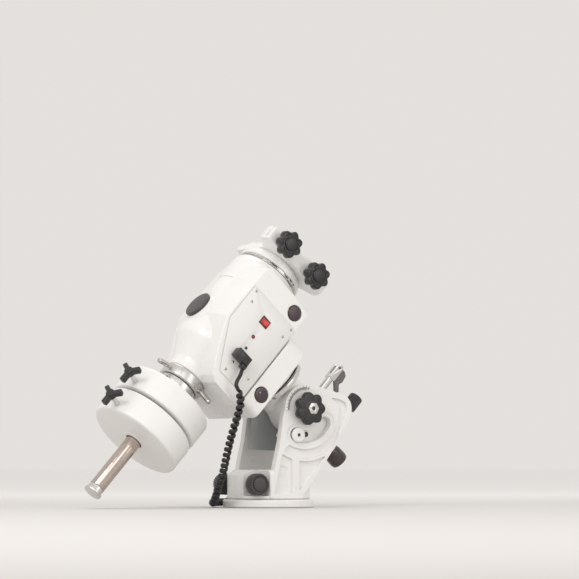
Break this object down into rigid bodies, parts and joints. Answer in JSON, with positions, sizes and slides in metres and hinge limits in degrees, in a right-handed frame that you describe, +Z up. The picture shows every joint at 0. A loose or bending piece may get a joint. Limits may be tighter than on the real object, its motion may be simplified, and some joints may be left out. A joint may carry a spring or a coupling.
{
  "type": "equatorial mount",
  "caption": "White motorised equatorial mount head with azimuth fork, tilting polar housing, declination saddle, counterweight shaft with disc weights and a curly hand-control lead.",
  "frame": {"origin": "centre of the base's flat lower face, where the tripod's plate holds it", "axes": "+Z up along the azimuth axis, +X towards the equator, -X towards the pole, +Y the far side from the control panel"},
  "size_m": [0.505, 0.1908, 0.4437],
  "materials": {
    "base_plate": "casting painted gloss white",
    "fork": "casting painted gloss white",
    "latitude_scale": "turned",
    "azimuth_knob_west": "semi-matte",
    "azimuth_knob_east": "semi-matte",
    "rear_knob": "semi-matte",
    "ra_housing": "casting painted gloss white",
    "altitude_axle": "brushed",
    "altitude_quadrant": "anodised",
    "slot_bolt": "brushed",
    "ra_setting_circle": "turned",
    "ra_bearing_front": "brushed",
    "ra_bearing_rear": "brushed",
    "ra_motor": "anodised",
    "ra_housing_plug": "semi-matte",
    "polar_scope_tube": "anodised",
    "altitude_star_knob": "semi-matte",
    "altitude_nut": "brushed",
    "altitude_bolt": "brushed",
    "folding_handle": "semi-matte",
    "polar_scope_eyepiece": "semi-matte",
    "ra_clutch_lever": "brushed",
    "ra_worm": "brushed",
    "head_casing": "casting painted gloss white",
    "control_panel": "casting painted gloss white",
    "power_lamp": "gloss",
    "main_board": "matte",
    "handset_socket": "semi-matte",
    "head_plug": "semi-matte",
    "dec_bearing_upper": "brushed",
    "dec_bearing_lower": "brushed",
    "dec_motor": "anodised",
    "ra_shaft": "brushed",
    "ra_worm_wheel": "machined",
    "handset_plug": "semi-matte",
    "lead_upper": "glossy",
    "lead_coil": "glossy",
    "lead_tail": "glossy",
    "lead_end_plug": "clear",
    "power_switch": "gloss",
    "polar_cap": "matte",
    "dec_worm": "brushed",
    "dec_shaft": "brushed",
    "dec_worm_wheel": "machined",
    "dec_setting_circle": "turned",
    "dec_flange": "casting painted gloss white",
    "saddle": "casting painted gloss white",
    "counterweight_shaft": "brushed",
    "shaft_collar": "turned",
    "saddle_jaw": "casting painted gloss white",
    "saddle_knob_lower": "semi-matte",
    "saddle_knob_upper": "semi-matte",
    "shaft_end_cap": "anodised",
    "shaft_lock_ring": "turned",
    "lock_pin_north": "brushed",
    "lock_pin_south": "brushed",
    "weight_upper": "painted, semi-matte",
    "weight_knob_upper": "semi-matte",
    "weight_lower": "painted, semi-matte",
    "weight_knob_lower": "semi-matte"
  },
  "bodies": {
    "base": {"base_plate": "base_plate"},
    "mount_fork": {"fork": "fork", "latitude_scale": "latitude_scale"},
    "azimuth_knob_w": {"azimuth_knob_west": "azimuth_knob_west"},
    "azimuth_knob_e": {"azimuth_knob_east": "azimuth_knob_east"},
    "rear_knob": {"rear_knob": "rear_knob"},
    "polar_housing": {"ra_housing": "ra_housing", "altitude_axle": "altitude_axle", "altitude_quadrant": "altitude_quadrant", "slot_bolt": "slot_bolt", "ra_setting_circle": "ra_setting_circle", "ra_bearing_front": "ra_bearing_front", "ra_bearing_rear": "ra_bearing_rear", "ra_motor": "ra_motor", "ra_housing_plug": "ra_housing_plug", "polar_scope_tube": "polar_scope_tube"},
    "altitude_knob": {"altitude_star_knob": "altitude_star_knob", "altitude_nut": "altitude_nut"},
    "altitude_bolt": {"altitude_bolt": "altitude_bolt"},
    "folding_handle": {"folding_handle": "folding_handle"},
    "eyepiece": {"polar_scope_eyepiece": "polar_scope_eyepiece"},
    "ra_clutch": {"ra_clutch_lever": "ra_clutch_lever"},
    "ra_worm": {"ra_worm": "ra_worm"},
    "head": {"head_casing": "head_casing", "control_panel": "control_panel", "power_lamp": "power_lamp", "main_board": "main_board", "handset_socket": "handset_socket", "head_plug": "head_plug", "dec_bearing_upper": "dec_bearing_upper", "dec_bearing_lower": "dec_bearing_lower", "dec_motor": "dec_motor", "ra_shaft": "ra_shaft", "ra_worm_wheel": "ra_worm_wheel", "handset_plug": "handset_plug", "lead_upper": "lead_upper", "lead_coil": "lead_coil", "lead_tail": "lead_tail", "lead_end_plug": "lead_end_plug"},
    "power_switch": {"power_switch": "power_switch"},
    "polar_cap": {"polar_cap": "polar_cap"},
    "dec_worm": {"dec_worm": "dec_worm"},
    "dec_side": {"dec_shaft": "dec_shaft", "dec_worm_wheel": "dec_worm_wheel", "dec_setting_circle": "dec_setting_circle", "dec_flange": "dec_flange", "saddle": "saddle", "counterweight_shaft": "counterweight_shaft", "shaft_collar": "shaft_collar"},
    "jaw": {"saddle_jaw": "saddle_jaw"},
    "saddle_knob_lower": {"saddle_knob_lower": "saddle_knob_lower"},
    "saddle_knob_upper": {"saddle_knob_upper": "saddle_knob_upper"},
    "end_cap": {"shaft_end_cap": "shaft_end_cap"},
    "lock_ring": {"shaft_lock_ring": "shaft_lock_ring", "lock_pin_north": "lock_pin_north", "lock_pin_south": "lock_pin_south"},
    "weight_upper": {"weight_upper": "weight_upper"},
    "weight_knob_upper": {"weight_knob_upper": "weight_knob_upper"},
    "weight_lower": {"weight_lower": "weight_lower"},
    "weight_knob_lower": {"weight_knob_lower": "weight_knob_lower"}
  },
  "joints": [
    {"name": "azimuth_adjust", "type": "hinge", "parent": "base", "child": "mount_fork", "pos_m": [0, 0, 0.02], "axis": [0, 0, 1], "range_deg": [-6, 6]},
    {"name": "azimuth_screw_west", "type": "slide", "parent": "mount_fork", "child": "azimuth_knob_w", "axis": [0, 1, 0], "range_m": [-0.006, 0.006]},
    {"name": "azimuth_screw_east", "type": "slide", "parent": "mount_fork", "child": "azimuth_knob_e", "axis": [0, 1, 0], "range_m": [-0.006, 0.006]},
    {"name": "rear_knob_spin", "type": "hinge", "parent": "polar_housing", "child": "rear_knob", "pos_m": [0.15635, 0, 0.16228], "axis": [0.6769, 0, 0.7361], "continuous": true},
    {"name": "altitude_tilt", "type": "hinge", "parent": "mount_fork", "child": "polar_housing", "pos_m": [0.0316, 0, 0.1548], "axis": [0, 1, 0], "range_deg": [-26, 2], "deforming": ["lead_upper", "lead_coil", "lead_tail", "lead_end_plug"]},
    {"name": "altitude_knob_spin", "type": "hinge", "parent": "polar_housing", "child": "altitude_knob", "pos_m": [0.0316, 0, 0.1548], "axis": [0, -1, 0], "continuous": true},
    {"name": "altitude_bolt_spin", "type": "hinge", "parent": "polar_housing", "child": "altitude_bolt", "pos_m": [0.10012, 0, 0.18682], "axis": [0.6769, 0, 0.7361], "continuous": true},
    {"name": "handle_fold", "type": "hinge", "parent": "altitude_bolt", "child": "folding_handle", "pos_m": [0.13261, 0, 0.22215], "axis": [0, 1, 0], "range_deg": [-90, 0]},
    {"name": "eyepiece_focus", "type": "hinge", "parent": "polar_housing", "child": "eyepiece", "pos_m": [0.12797, 0, 0.07971], "axis": [0.7361, 0, -0.6769], "range_deg": [-180, 180]},
    {"name": "ra_clutch_turn", "type": "hinge", "parent": "polar_housing", "child": "ra_clutch", "pos_m": [-0.00011, 0, 0.19748], "axis": [0.7361, 0, -0.6769], "range_deg": [0, 20]},
    {"name": "ra_axis", "type": "hinge", "parent": "polar_housing", "child": "head", "pos_m": [-0.0855, 0, 0.276], "axis": [0.7361, 0, -0.6769], "continuous": true, "deforming": ["lead_upper", "lead_coil", "lead_tail", "lead_end_plug"]},
    {"name": "ra_worm_turn", "type": "hinge", "parent": "polar_housing", "child": "ra_worm", "pos_m": [-0.06348, 0, 0.17289], "axis": [0, 1, 0], "continuous": true},
    {"name": "switch_rock", "type": "hinge", "parent": "head", "child": "power_switch", "pos_m": [-0.05387, -0.073, 0.28794], "axis": [0.6769, 0, 0.7361], "range_deg": [0, 12]},
    {"name": "polar_cap_pull", "type": "slide", "parent": "head", "child": "polar_cap", "axis": [-0.7361, 0, 0.6769], "range_m": [0, 0.03]},
    {"name": "dec_axis", "type": "hinge", "parent": "head", "child": "dec_side", "pos_m": [-0.0855, 0, 0.276], "axis": [0.6769, 0, 0.7361], "continuous": true},
    {"name": "dec_worm_turn", "type": "hinge", "parent": "head", "child": "dec_worm", "pos_m": [0.00187, 0, 0.30379], "axis": [0, 1, 0], "continuous": true},
    {"name": "jaw_slide", "type": "slide", "parent": "dec_side", "child": "jaw", "axis": [0, 1, 0], "range_m": [-0.0075, 0]},
    {"name": "saddle_knob_lower_spin", "type": "hinge", "parent": "jaw", "child": "saddle_knob_lower", "pos_m": [0.04032, 0, 0.36408], "axis": [0, -1, 0], "continuous": true},
    {"name": "saddle_knob_upper_spin", "type": "hinge", "parent": "jaw", "child": "saddle_knob_upper", "pos_m": [-0.0112, 0, 0.41146], "axis": [0, -1, 0], "continuous": true},
    {"name": "end_cap_spin", "type": "hinge", "parent": "dec_side", "child": "end_cap", "pos_m": [-0.31361, 0, 0.02794], "axis": [0.6769, 0, 0.7361], "continuous": true},
    {"name": "lock_ring_turn", "type": "hinge", "parent": "dec_side", "child": "lock_ring", "pos_m": [-0.15996, 0, 0.19503], "axis": [0.6769, 0, 0.7361], "range_deg": [0, 40]},
    {"name": "weight_upper_slide", "type": "slide", "parent": "dec_side", "child": "weight_upper", "axis": [0.6769, 0, 0.7361], "range_m": [0, 0.007]},
    {"name": "weight_lower_slide", "type": "slide", "parent": "dec_side", "child": "weight_lower", "axis": [0.6769, 0, 0.7361], "range_m": [-0.09, 0]},
    {"name": "weight_knob_upper_spin", "type": "hinge", "parent": "weight_upper", "child": "weight_knob_upper", "pos_m": [-0.20531, 0, 0.14571], "axis": [-0.6872, -0.3584, 0.6319], "continuous": true},
    {"name": "weight_knob_lower_spin", "type": "hinge", "parent": "weight_lower", "child": "weight_knob_lower", "pos_m": [-0.23712, 0, 0.11111], "axis": [-0.6872, -0.3584, 0.6319], "continuous": true}
  ],
  "couplings": [
    {"joint": "azimuth_screw_west", "follows": "azimuth_adjust", "m_per_rad": 0.051},
    {"joint": "azimuth_screw_east", "follows": "azimuth_adjust", "m_per_rad": 0.051},
    {"joint": "ra_worm_turn", "follows": "ra_axis", "ratio": 180},
    {"joint": "dec_worm_turn", "follows": "dec_axis", "ratio": 130}
  ]
}
